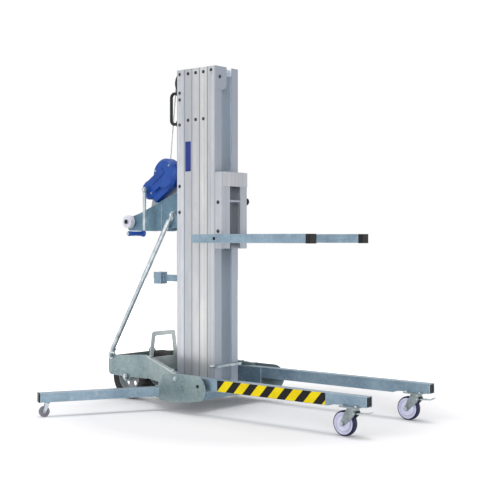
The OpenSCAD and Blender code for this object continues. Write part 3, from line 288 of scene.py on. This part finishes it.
def treaded_rubber(axle, blocks):
    """Black rubber, dusty on its tread blocks, which are a square wave round the axle, with painted shade
    between them.
    """
    material, tree, shader = new_material("treaded_rubber", Metallic=0.0, Roughness=0.7)
    place = add(tree, "ShaderNodeTexCoord").outputs["Object"]
    offset = add(tree, "ShaderNodeVectorMath", {
        0: place, 1: (0, axle.y, axle.z)}, operation="SUBTRACT").outputs[0]
    split = add(tree, "ShaderNodeSeparateXYZ", {"Vector": offset})
    angle = add(tree, "ShaderNodeMath", {
        0: split.outputs["Z"], 1: split.outputs["Y"]}, operation="ARCTAN2").outputs[0]
    count = add(tree, "ShaderNodeMath", {0: angle, 1: float(blocks)}, operation="MULTIPLY").outputs[0]
    wave = add(tree, "ShaderNodeMath", {0: count}, operation="SINE").outputs[0]
    block = add(tree, "ShaderNodeMapRange", {
        "Value": wave, "From Min": -0.35, "From Max": 0.05}).outputs["Result"]
    dust = grain(tree, 0.033, detail=6.0)
    worn = two_tone(tree, dust, "#161616", "#2c2c2e")
    # The grooves between the blocks are painted darker, as painted shade.
    tree.links.new(two_tone(tree, block, "#0b0b0c", worn, 0.0, 1.0), shader.inputs["Base Color"])
    soft_edges(tree, shader, block, 0.7, 0.004, 0.002)
    return material


finishes["bright_steel"] = plated("bright_steel", "#74797d", "#a9aeb1", 0.28)
finishes["grey_rim"] = moulded("grey_rim", "#7b8186", "#989ea3", 0.35)
dress("rear_axle", "right_rear_rim", "left_rear_rim")
tread_blocks = 36
for tyre in ("right_rear_tyre", "left_rear_tyre"):
    dress(tyre, material=treaded_rubber(middle(tyre), tread_blocks))
axle_low, axle_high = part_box("rear_axle")
axle = middle("rear_axle")
nut_r, nut_h = 0.013, 0.010
studs("axle_nut_right", "base", "zinc_plate", [(axle_low.x, axle.y, axle.z)],
      radius=nut_r, height=nut_h, axis=(-1, 0, 0))
studs("axle_nut_left", "base", "zinc_plate", [(axle_high.x, axle.y, axle.z)],
      radius=nut_r, height=nut_h, axis=(1, 0, 0))

# Tilt handle
# Flat loop of galvanised plate that stands across the box in front of the wheels.
# It is given a zinc a little lighter than the sheet.
dress("tilt_handle", material=pale_zinc)

# Front legs
# Galvanised tubes with black plastic plugs in the ends.
# The near one carries black tape with slanted yellow bars on its outer side.
finishes["black_plastic"] = moulded("black_plastic", "#0d0e10", "#1b1c1f", 0.42, shine=0.25)
dress("right_leg", "left_leg", "leg_plugs")
leg_low, leg_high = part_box("right_leg")
tape_front, tape_rear = leg_low.y + 0.240, -0.024
tape_low, tape_high = leg_low.z + 0.0015, leg_high.z - 0.0015
tape_thick, bar_thick = 0.0004, 0.0008
tape_mid = Vector((leg_low.x, (tape_front + tape_rear) / 2, (tape_low + tape_high) / 2))
tape_width = tape_high - tape_low
tape = bmesh.new()
bmesh.ops.create_cube(tape, size=1, matrix=Matrix.Translation(tape_mid - Vector((tape_thick / 2, 0, 0)))
                      @ Matrix.Diagonal((tape_thick, tape_rear - tape_front, tape_width, 1)))
tape_black = moulded("tape_black", "#0d0d0d", "#191817", 0.4, 0.002, shine=0.2)
tape_yellow = moulded("tape_yellow", "#e3c800", "#f4dc0c", 0.4, 0.002, shine=0.2)
finish("tape_black", tape, "base", None, tape_black)
bars = bmesh.new()
bar_pitch, bar_share, bar_lean = 0.114, 0.52, -0.9
lean = Matrix.Identity(4)
lean[1][2] = bar_lean
bar_y = tape_rear - bar_pitch * 0.5
while bar_y > tape_front - bar_pitch:
    bar_at = Matrix.Translation((leg_low.x - bar_thick / 2, bar_y, tape_mid.z))
    bar_size = Matrix.Diagonal((bar_thick, bar_pitch * bar_share, tape_width, 1))
    bmesh.ops.create_cube(bars, size=1, matrix=bar_at @ lean @ bar_size)
    bar_y -= bar_pitch
for end, outward in ((tape_front, (0, -1, 0)), (tape_rear, (0, 1, 0))):
    cut = bmesh.ops.bisect_plane(bars, geom=bars.verts[:] + bars.edges[:] + bars.faces[:], dist=1e-6,
                                 plane_co=(0, end, 0), plane_no=outward, clear_outer=True)
    bmesh.ops.edgenet_fill(bars, edges=[g for g in cut["geom_cut"] if isinstance(g, bmesh.types.BMEdge)])
bmesh.ops.recalc_face_normals(bars, faces=bars.faces[:])
finish("tape_yellow", bars, "base", None, tape_yellow)

# Front casters
# Zinc-plated swivel forks on bolted top plates, each with a foot brake.
# The wheels are lavender plastic discs with a raised ring, and a navy tread moulded on.
finishes["caster_disc"] = moulded("caster_disc", "#c0c1de", "#dedff1", 0.32, coat=0.2)
finishes["navy_tread"] = moulded("navy_tread", "#12163a", "#20264c", 0.45, shine=0.3)
caster_zinc = plated("caster_zinc", "#6f797c", "#a2abad", 0.28)
dress("caster_plates", material=caster_zinc)
plate_low, plate_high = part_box("caster_plates")
plate_y = (plate_low.y + plate_high.y) / 2
plate_bolt_x, plate_bolt_y = 0.0375, 0.04
ring_r, ring_top_r, ring_t, ring_sunk = 0.040, 0.036, 0.003, 0.0005
for side, name in two_sides:
    dress(name + "_caster_fork", material=caster_zinc)
    dress(name + "_caster_hub", name + "_caster_tyre", name + "_brake_pedal")
    leg = middle(name + "_leg")
    studs(name + "_caster_bolts", "base", "zinc_plate",
          [(leg.x + x, plate_y + y, plate_high.z)
           for x in (-plate_bolt_x, plate_bolt_x) for y in (-plate_bolt_y, plate_bolt_y)],
          radius=0.007, height=0.007, axis=(0, 0, 1))
    hub_low, hub_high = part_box(name + "_caster_hub")
    hub = middle(name + "_caster_hub")
    cheek_low, cheek_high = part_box(name + "_caster_fork")
    for face, outward, end in ((cheek_low.x, -1, "_right"), (cheek_high.x, 1, "_left")):
        studs(name + "_caster_nut" + end, name + "_caster", "zinc_plate", [(face, hub.y, hub.z)],
              radius=0.0065, height=0.005, axis=(outward, 0, 0))
    cover = bmesh.new()
    for face, outward in ((hub_low.x, -1), (hub_high.x, 1)):
        ring_at = Matrix.Translation((face - outward * ring_sunk, hub.y, hub.z)) @ turn_to((outward, 0, 0))
        ring = bmesh.ops.create_cone(cover, cap_ends=True, segments=40, radius1=ring_r, radius2=ring_top_r,
                                     depth=ring_t, matrix=ring_at)
        top = [f for f in {f for v in ring["verts"] for f in v.link_faces} if len(f.verts) > 4
               and f.calc_center_median().x * outward > face * outward]
        bmesh.ops.inset_region(cover, faces=top, thickness=0.010, depth=-0.001)
        bmesh.ops.inset_region(cover, faces=top, thickness=0.012, depth=0.0016)
    finish(name + "_caster_covers", cover, name + "_caster_wheel", "caster_disc")

# Stabilisers
# Rounded cheek plates bolted to the legs; the tubes swing on vertical pins and end in black plugs.
# Each tube stands on a small swivel caster.
small_wheel_grey = moulded("small_wheel_grey", "#6f6f79", "#8d8d97", 0.45)
dress("stabiliser_pins")
bolt_y, bolt_z = 0.262, 0.189
screw_y, screw_z = 0.095, 0.160
pin_x, pin_y, tube_z = 0.298, 0.390, 0.105
swung_out, tube_end = 61, 0.7
cap_t, cap_s, cap_edge = 0.008, 0.051, 0.0018
for side, name in two_sides:
    dress(name + "_stabiliser_bracket", material=sheet_zinc)
    dress(name + "_stabiliser", name + "_small_fork")
    dress(name + "_small_wheel", material=small_wheel_grey)
    bracket_low, bracket_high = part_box(name + "_stabiliser_bracket")
    face = bracket_low.x if side < 0 else bracket_high.x
    studs(name + "_bracket_bolts", "base", "zinc_plate", [(face, bolt_y, bolt_z)],
          radius=0.010, height=0.009, axis=(side, 0, 0))
    studs(name + "_bracket_screws", "base", "black_plastic", [(face, screw_y, screw_z)],
          radius=0.007, height=0.005, axis=(side, 0, 0))
    pin = Vector((side * pin_x, pin_y, tube_z))
    swing = Matrix.Translation(pin) @ Matrix.Rotation(math.radians(90 - side * swung_out), 4, "Z")
    cap = bmesh.new()
    bmesh.ops.create_cube(cap, size=1, matrix=swing @ Matrix.Translation((tube_end, 0, 0))
                          @ Matrix.Diagonal((cap_t, cap_s, cap_s, 1)))
    bmesh.ops.bevel(cap, geom=cap.edges[:], offset=cap_edge, offset_type="OFFSET", segments=3,
                    profile=0.5, affect="EDGES", material=-1)
    finish(name + "_stabiliser_cap", cap, name + "_stabiliser_arm", "black_plastic")


# Mast sections
# Five mill-finish aluminium extrusions, each sliding in the slot of the one behind it.
# Their side walls end in lips painted darker, as painted shade at the joints; blackened bolts hold the
# guide pads near the top of each.
def aluminium_profile(name, dark, light, inner=-1.0):
    """Drawn aluminium: fine lines and 14 mm bands along Z, clouds, scuffs, and painted shade on the lip at
    each joint.

    The die lines are too fine to show, so they are drawn 2 mm wide. Nearer the middle than inner, within
    the slot, the metal is painted lighter, as painted light against the shade of the slot.
    """
    material, tree, shader = new_material(name, Metallic=0.5)
    place = add(tree, "ShaderNodeTexCoord").outputs["Object"]
    split = add(tree, "ShaderNodeSeparateXYZ", {"Vector": place})
    behind = add(tree, "ShaderNodeMath", {
        0: split.outputs["Y"], 1: section_low.y}, operation="SUBTRACT").outputs[0]
    step = add(tree, "ShaderNodeMath", {0: behind, 1: section_pitch, 2: 0.0}, operation="WRAP").outputs[0]
    past_front_joint_shade = add(tree, "ShaderNodeMapRange", {
        "Value": step, "From Min": 0.001, "From Max": 0.005}).outputs["Result"]
    before_rear_joint_shade = add(tree, "ShaderNodeMapRange", {
        "Value": step, "From Min": section_depth - 0.001, "From Max": section_depth - 0.007
    }).outputs["Result"]
    # wall is 1 away from the joints and 0 on the lips, which get painted shade.
    wall = add(tree, "ShaderNodeMath", {
        0: past_front_joint_shade, 1: before_rear_joint_shade}, operation="MULTIPLY").outputs[0]
    aside = add(tree, "ShaderNodeMath", {0: split.outputs["X"]}, operation="ABSOLUTE").outputs[0]
    # Nearer the middle than inner the metal is painted lighter: painted light in the slot.
    painted_light_mask = add(tree, "ShaderNodeMapRange", {
        "Value": aside, "From Min": inner + 0.001, "From Max": inner}).outputs["Result"]
    lines = grain(tree, 0.0024, (1.0, 1.0, 0.012), 3.0)
    bands = grain(tree, 0.0143, (1.0, 1.0, 0.002), 3.0)
    clouds = grain(tree, 0.167, (1.0, 1.0, 0.35), 6.0)
    scuffs = grain(tree, 0.018, (1.0, 1.0, 0.2), 8.0)
    tone = add(tree, "ShaderNodeMath", {0: clouds, 1: bands}, operation="ADD").outputs[0]
    bright = two_tone(tree, tone, dark, light, 0.7, 1.3)
    worn = two_tone(tree, scuffs, bright, "#a3a4a8", 0.56, 0.72, 0.35)
    lit_slot_tone = two_tone(tree, painted_light_mask, worn, "#e6eff6", 0.0, 1.0)
    # The lips take the darker colour, painted shade at the joints.
    tree.links.new(two_tone(tree, wall, "#9da4b0", lit_slot_tone, 0.0, 1.0), shader.inputs["Base Color"])
    uneven_gloss(tree, shader, lines, 0.32, 0.46)
    soft_edges(tree, shader, lines, 0.12, 0.0004)
    return material


section_low, section_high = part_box("mast_section_1")
section_depth = section_high.y - section_low.y
section_pitch = section_low.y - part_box("mast_section_2")[0].y
section_inner = section_high.x - 0.003  # within the 4 mm wall
section_tones = {1: ("#b2b6bc", "#d8dade"), 2: ("#a1a5ab", "#c2c4c7"), 3: ("#acb0b3", "#d4d4d3"),
                 4: ("#b2b5b7", "#d9d9d6"), 5: ("#a4a8ae", "#c6c8cb")}
blackened_bolt = plated("blackened_bolt", "#29292b", "#59595b", 0.35)
pad_rows = {1: (1.905, 1.797, 1.758, 1.613, 1.258, 1.108), 2: (1.903, 1.636), 3: (1.903, 1.636),
            4: (1.903, 1.636), 5: (1.908,)}
first_pads_back = 0.008
for index in section_tones:
    body = "base" if index == 1 else "section_%d" % index
    section_finish = aluminium_profile("drawn_aluminium_%d" % index, *section_tones[index], section_inner)
    dress("mast_section_%d" % index, material=section_finish)
    wall = section_low.y - (index - 1) * section_pitch + section_depth / 2
    pad_y = wall + (first_pads_back if index == 1 else 0)
    for side, name in two_sides:
        studs("section_%d_bolts_%s" % (index, name), body, "bright_steel",
              [(side * section_high.x, pad_y, z) for z in pad_rows[index]],
              radius=0.0075, height=0.005, axis=(side, 0, 0), material=blackened_bolt)

# Mast sticker
# A plain blue vinyl label with rounded corners, stuck on the near side of section 2.
# Nothing is printed on it.
sticker_t, sticker_w, sticker_h, sticker_corner = 0.0006, 0.043, 0.172, 0.004
sticker_y, sticker_z = section_low.y - section_pitch + 0.0285, 1.428
sticker_at = Matrix.Translation((section_low.x - sticker_t / 2, sticker_y, sticker_z))
sticker = bmesh.new()
bmesh.ops.create_cube(sticker, size=1, matrix=sticker_at
                      @ Matrix.Diagonal((sticker_t, sticker_w, sticker_h, 1)))
corners = [e for e in sticker.edges if abs(e.verts[0].co.x - e.verts[1].co.x) > sticker_t / 2]
bmesh.ops.bevel(sticker, geom=corners, offset=sticker_corner, offset_type="OFFSET", segments=4, profile=0.5,
                affect="EDGES", material=-1)
sticker_blue = moulded("sticker_blue", "#202f74", "#2c3f8e", 0.4, 0.0025, shine=0.25)
finish("plain_sticker", sticker, "section_2", None, sticker_blue)

# Mast fittings
# Black bow handles and the galvanised storage clip on the back, the sheave bracket at the head.
# The stop bar at the foot is held by nuts on its bosses, the rope guard at the head by one bolt.
dress("carry_handles", "storage_clip", "sheave_bracket", "head_sheave", "front_sheave", "carriage_stop")
stop_low, stop_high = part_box("carriage_stop")
boss_y, boss_z = stop_low.y + 0.040, (stop_low.z + stop_high.z) / 2
for face, outward, name in ((stop_low.x, -1, "right"), (stop_high.x, 1, "left")):
    studs("stop_nut_" + name, "section_5", "zinc_plate", [(face, boss_y, boss_z)],
          radius=0.0062, height=0.006, axis=(outward, 0, 0))
guard_low, guard_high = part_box("mast_section_5")
guard_x, guard_drop = -0.060, 0.059
studs("guard_bolt", "section_5", "bright_steel", [(guard_x, guard_low.y, guard_high.z - guard_drop)],
      radius=0.008, height=0.006, axis=(0, -1, 0), material=blackened_bolt)

# Brace
# Zinc-plated steel tube with its ends pressed flat into eyes.
# One bolt holds it to the wheel box and one to the winch bracket.
dress("brace_tube")
brace_low, brace_top = (-0.1863, 0.954, 0.252), (-0.0883, 0.539, 1.096)
studs("brace_bolt_low", "base", "zinc_plate", [brace_low],
      radius=0.011, height=0.010, axis=(-1, 0, 0))
studs("brace_bolt_top", "base", "zinc_plate", [brace_top],
      radius=0.011, height=0.010, axis=(-1, 0, 0))

# Winch bracket
# Folded galvanised cheeks, bolted to the back of the mast; they carry the winch.
# White nylon loading rollers turn on stub axles at their ends.
finishes["white_plastic"] = moulded("white_plastic", "#cfcfda", "#e4e4ec", 0.38)
dress("right_loading_roller", "left_loading_roller")
dress("winch_bracket", material=galvanised("bracket_zinc", "#446375", "#6b899a"))
stub_out = 0.005
for side, name in two_sides:
    roller_low, roller_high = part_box(name + "_loading_roller")
    roller = middle(name + "_loading_roller")
    face = (roller_low.x - stub_out) if side < 0 else (roller_high.x + stub_out)
    studs(name + "_roller_bolt", "base", "black_plastic", [(face, roller.y, roller.z)],
          radius=0.010, height=0.006, axis=(side, 0, 0))

# Winch
# Drum, gear train and crank between pressed side plates; the gears run under a blue moulded cover.
# Small hexagon screws hold the cover, and a nut on the end of its shaft holds the crank.
finishes["blue_plastic"] = moulded("blue_plastic", "#0a398c", "#144fa6", 0.34, shine=0.4)
dress("winch_frame", "winch_cover", "winch_drum", "drum_gear", "idler_gear")
dress("crank_shaft", "crank_arm", "crank_grip")
drum = middle("winch_drum")
crank = middle("crank_shaft")
screw_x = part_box("winch_cover")[0].x + 0.005
nut_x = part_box("crank_arm")[1].x - 0.008
studs("cover_screws", "base", "bright_steel",
      [(screw_x, drum.y + 0.065, drum.z + 0.020), (screw_x, drum.y - 0.045, drum.z + 0.050),
       (screw_x, crank.y - 0.032, crank.z - 0.020)],
      radius=0.0055, height=0.004, axis=(-1, 0, 0))
studs("crank_nut", "crank", "zinc_plate", [(nut_x, crank.y, crank.z)],
      radius=0.013, height=0.009, axis=(-1, 0, 0))


# Wire rope
# Six strands of bright steel wire, laid round each other to 6 mm.
# One layer lies on the drum; the run goes up over the head sheave and down the mast.
def stranded(name, points, radius, lay, body, node):
    """Laid rope along a route: six round strands that turn once in each lay."""
    data = bpy.data.curves.new(name, "CURVE")
    data.dimensions = "3D"
    data.bevel_depth = radius * 0.38
    data.bevel_resolution = 1
    data.use_fill_caps = True
    points = [Vector(p) for p in points]
    strands = [[] for _ in range(6)]
    across, run = Vector((1, 0, 0)), 0.0
    for i, point in enumerate(points):
        before, after = points[max(i - 1, 0)], points[min(i + 1, len(points) - 1)]
        along = (after - before).normalized()
        across = (across - along * across.dot(along)).normalized()
        run += (point - before).length
        for k, strand in enumerate(strands):
            turn = 2 * math.pi * (k / 6 + run / lay)
            outward = across * math.cos(turn) + along.cross(across) * math.sin(turn)
            strand.append(point + outward * radius * 0.62)
    for strand in strands:
        spline = data.splines.new("POLY")
        spline.points.add(len(strand) - 1)
        for knot, place in zip(spline.points, strand):
            knot.co = (*place, 1)
    data.materials.append(finishes["wire_rope"])
    piece = bpy.data.objects.new(name, data)
    scene.collection.objects.link(piece)
    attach(piece, body)
    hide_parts(node)


finishes["wire_rope"] = plated("wire_rope", "#85898c", "#bcc0c2", 0.3, 0.0014)
dress("lifting_rope", "rope_winding")
drum_at, sheave_at = Vector((0.590, 1.335)), Vector((0.5165, 1.875))
drum_r, sheave_r, rope_r, rope_lay = 0.048, 0.065, 0.003, 0.042
turns, turn_pitch, tail = 8, 0.007, 0.006
foot_z = 0.141
rise_steps, wrap_steps, drop_steps, turn_steps = 110, 48, 340, 60
line = sheave_at - drum_at
touch = math.atan2(line.y, line.x) - math.acos((drum_r - sheave_r) / line.length)
leave = Vector((math.cos(touch), math.sin(touch)))
low, high = drum_at + drum_r * leave, sheave_at + sheave_r * leave
low += (high - low).normalized() * math.sqrt((drum_r + turn_pitch) ** 2 - drum_r ** 2)
route = [(0, *low.lerp(high, i / rise_steps)) for i in range(rise_steps)]
for i in range(wrap_steps + 1):
    angle = touch + (math.pi - touch) * i / wrap_steps
    route.append((0, *(sheave_at + sheave_r * Vector((math.cos(angle), math.sin(angle))))))
top, foot = Vector((sheave_at.x - sheave_r, sheave_at.y)), Vector((sheave_at.x - sheave_r, foot_z))
route += [(0, *top.lerp(foot, i / drop_steps)) for i in range(1, drop_steps + 1)]
stranded("rope_run", route, rope_r, rope_lay, "base", "lifting_rope")
coil = [Vector((-turns * turn_pitch / 2, drum_at.x + drum_r, drum_at.y - tail))]
for i in range(turns * turn_steps + 1):
    angle = 2 * math.pi * i / turn_steps
    coil.append(Vector((turn_pitch * (i / turn_steps - turns / 2),
                        drum_at.x + drum_r * math.cos(angle), drum_at.y + drum_r * math.sin(angle))))
coil.append(coil[-1] + Vector((0, 0, tail)))
stranded("rope_on_drum", coil, rope_r, rope_lay, "drum", "rope_winding")

# Carriage and forks
# Aluminium rails that run on section 5, a galvanised cross bar and two galvanised fork tubes.
# Black caps close the fork ends, and a black knob locks the carriage.
dress("carriage_frame", material=aluminium_profile("drawn_aluminium_carriage", *section_tones[5]))
dress("fork_bar", "right_fork", "left_fork", "fork_caps", "carriage_knob")
carriage_low, carriage_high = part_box("carriage_frame")
rail_y = middle("carriage_frame").y + 0.004
low_bolt, high_bolt = 0.998, 1.160
for side, name in two_sides:
    face = carriage_low.x if side < 0 else carriage_high.x
    places = [(face, rail_y, z) for z in ((high_bolt, low_bolt) if side < 0 else (low_bolt,))]
    studs("carriage_bolts_" + name, "carriage", "bright_steel", places,
          radius=0.008, height=0.006, axis=(side, 0, 0), material=blackened_bolt)
fork_x, fork_pin_y, fork_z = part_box("right_fork")[0].x, 0.052, middle("right_fork").z
studs("fork_pin", "carriage", "black_plastic", [(fork_x, fork_pin_y, fork_z)],
      radius=0.007, height=0.005, axis=(-1, 0, 0))

# Floor
# Pale studio floor that holds the shadow under the machine.
# It turns to plain white from shade_r to white_r away from the middle.
floor_half, shade_r, white_r = 14, 0.9, 2.6
floor = bmesh.new()
bmesh.ops.create_grid(floor, x_segments=1, y_segments=1, size=floor_half)
floor_data = bpy.data.meshes.new("floor")
floor.to_mesh(floor_data)
floor.free()
floor_piece = bpy.data.objects.new("floor", floor_data)
scene.collection.objects.link(floor_piece)
floor_material, floor_tree, floor_shader = new_material("floor_white", Roughness=0.9)
floor_shader.inputs["Base Color"].default_value = linear("#f3f2f3")
floor_shader.inputs["Emission Color"].default_value = (1, 1, 1, 1)


def seen_directly(tree):
    """1 for camera, glossy and transmission rays."""
    path = add(tree, "ShaderNodeLightPath")
    pair = add(tree, "ShaderNodeMath", {
        0: path.outputs["Is Camera Ray"], 1: path.outputs["Is Glossy Ray"]}, operation="MAXIMUM").outputs[0]
    return add(tree, "ShaderNodeMath", {
        0: pair, 1: path.outputs["Is Transmission Ray"]}, operation="MAXIMUM").outputs[0]


away = add(floor_tree, "ShaderNodeVectorMath", {
    0: add(floor_tree, "ShaderNodeTexCoord").outputs["Object"]}, operation="LENGTH").outputs["Value"]
paler = add(floor_tree, "ShaderNodeMapRange", {
    "Value": away, "From Min": shade_r, "From Max": white_r, "To Min": 0.08, "To Max": 1.0
}).outputs["Result"]
glow = add(floor_tree, "ShaderNodeMath", {
    0: seen_directly(floor_tree), 1: paler}, operation="MULTIPLY").outputs[0]
floor_tree.links.new(glow, floor_shader.inputs["Emission Strength"])
floor_data.materials.append(floor_material)


# Light
# A weak key from the left, a fill from beside the camera, a soft light from above and a plain sky.
# The lamps are distant, so the raised mast is lit as evenly as the lowered one.
def soft_lamp(name, place, target, spread, strength):
    """Distant lamp that shines from a place to a target, spread over an angle in degrees."""
    lamp = bpy.data.lights.new(name, "SUN")
    lamp.angle = math.radians(spread)
    lamp.energy = strength
    light = bpy.data.objects.new(name, lamp)
    scene.collection.objects.link(light)
    light.location = place
    light.rotation_euler = (Vector(target) - Vector(place)).to_track_quat("-Z", "Y").to_euler()


soft_lamp("key", (-4.2, 2.0, 3.6), (0, 0.2, 0.9), 28, 0.40)
soft_lamp("fill", (-3.7, -3.9, 2.0), (0, 0, 0.9), 24, 1.15)
soft_lamp("top", (0.2, 0.0, 4.6), (0, 0, 0), 30, 1.2)
world = bpy.data.worlds.new("sky")
scene.world = world
world.use_nodes = True
sky = world.node_tree
sky.nodes.clear()
direction = add(sky, "ShaderNodeTexCoord").outputs["Generated"]
left = add(sky, "ShaderNodeVectorMath", {
    0: direction, 1: (-0.6, 0.75, 0.3)}, operation="DOT_PRODUCT").outputs["Value"]
brighter = add(sky, "ShaderNodeMapRange", {
    "Value": left, "From Min": -0.8, "From Max": 0.9, "To Min": 0.2, "To Max": 0.6}).outputs["Result"]
lit = add(sky, "ShaderNodeBackground", {"Color": linear("#f4f5f7"), "Strength": brighter})
plain = add(sky, "ShaderNodeBackground", {"Color": (1, 1, 1, 1), "Strength": 1.0})
both = add(sky, "ShaderNodeMixShader", {0: seen_directly(sky), 1: lit.outputs[0], 2: plain.outputs[0]})
add(sky, "ShaderNodeOutputWorld", {"Surface": both.outputs[0]})
scene.view_settings.view_transform = "Standard"
